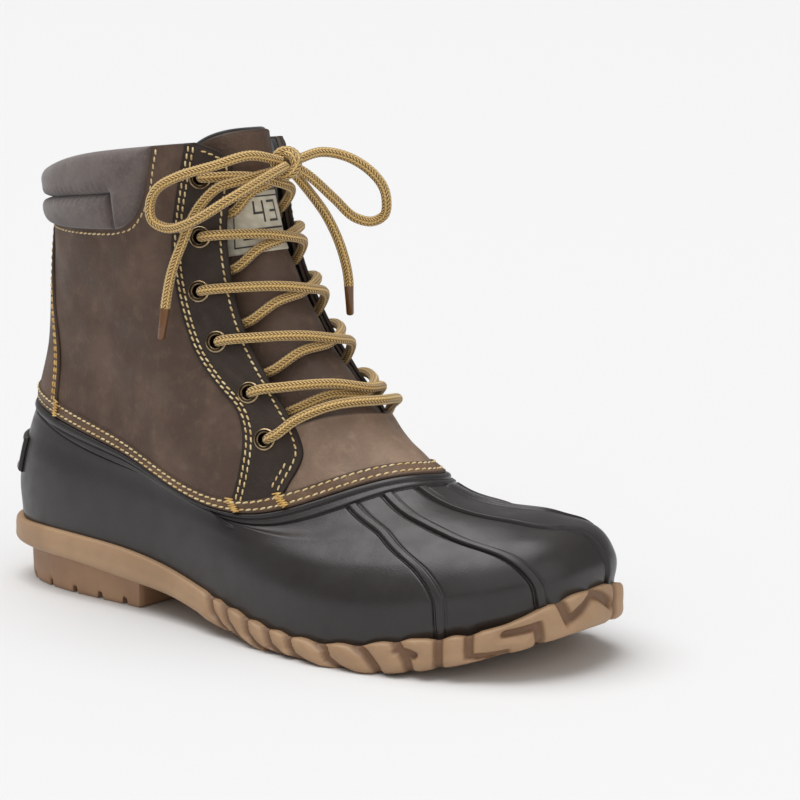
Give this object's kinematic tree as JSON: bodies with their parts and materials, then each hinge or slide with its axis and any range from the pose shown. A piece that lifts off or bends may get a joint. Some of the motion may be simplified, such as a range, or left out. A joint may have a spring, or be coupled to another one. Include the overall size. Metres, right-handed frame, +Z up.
{
  "type": "duck boot",
  "caption": "Lace-up duck boot for the right foot: moulded rubber bottom with a gum sole, leather shaft, padded collar, tongue, metal eyelets and a tied lace.",
  "frame": {"origin": "on the floor under the middle of the boot's length and width", "axes": "+X to the toe, +Y to the inner side of the foot, +Z up"},
  "size_m": [0.3076, 0.1174, 0.2102],
  "materials": {
    "gum_rubber": "satin moulded gum rubber",
    "shell_rubber": "satin moulded dark rubber",
    "quarter_leather": "waxed full-grain leather, matte",
    "stay_leather": "dark brown nubuck",
    "collar_nubuck": "grey nubuck, padded",
    "tongue_leather": "soft brown leather",
    "label_cloth": "woven cloth, bare",
    "insole_felt": "dark felt",
    "eyelet_metal": "antique brass, worn",
    "lace_braid": "round braided cord, gold with dark flecks",
    "tip_plastic": "smooth plastic tip"
  },
  "bodies": {
    "root": {"outsole": "gum_rubber", "rubber_shell": "shell_rubber", "heel_tab": "shell_rubber", "leather_upper": "quarter_leather", "eyestay_lateral": "stay_leather", "eyestay_medial": "stay_leather", "collar_pad": "collar_nubuck", "back_stay": "stay_leather", "tongue": "tongue_leather", "tongue_label": "label_cloth", "insole": "insole_felt", "eyelet_lateral_1": "eyelet_metal", "eyelet_lateral_2": "eyelet_metal", "eyelet_lateral_3": "eyelet_metal", "eyelet_lateral_4": "eyelet_metal", "eyelet_lateral_5": "eyelet_metal", "eyelet_lateral_6": "eyelet_metal", "eyelet_medial_1": "eyelet_metal", "eyelet_medial_2": "eyelet_metal", "eyelet_medial_3": "eyelet_metal", "eyelet_medial_4": "eyelet_metal", "eyelet_medial_5": "eyelet_metal", "eyelet_medial_6": "eyelet_metal", "lace_bar": "lace_braid", "lace_cross_2": "lace_braid", "lace_cross_3": "lace_braid", "lace_cross_4": "lace_braid", "lace_cross_5": "lace_braid", "lace_cross_6": "lace_braid", "lace_knot": "lace_braid", "bow_loop_lateral": "lace_braid", "bow_loop_medial": "lace_braid", "lace_end_lateral": "lace_braid", "lace_end_medial": "lace_braid", "lace_tip_lateral": "tip_plastic", "lace_tip_medial": "tip_plastic"}
  },
  "joints": []
}
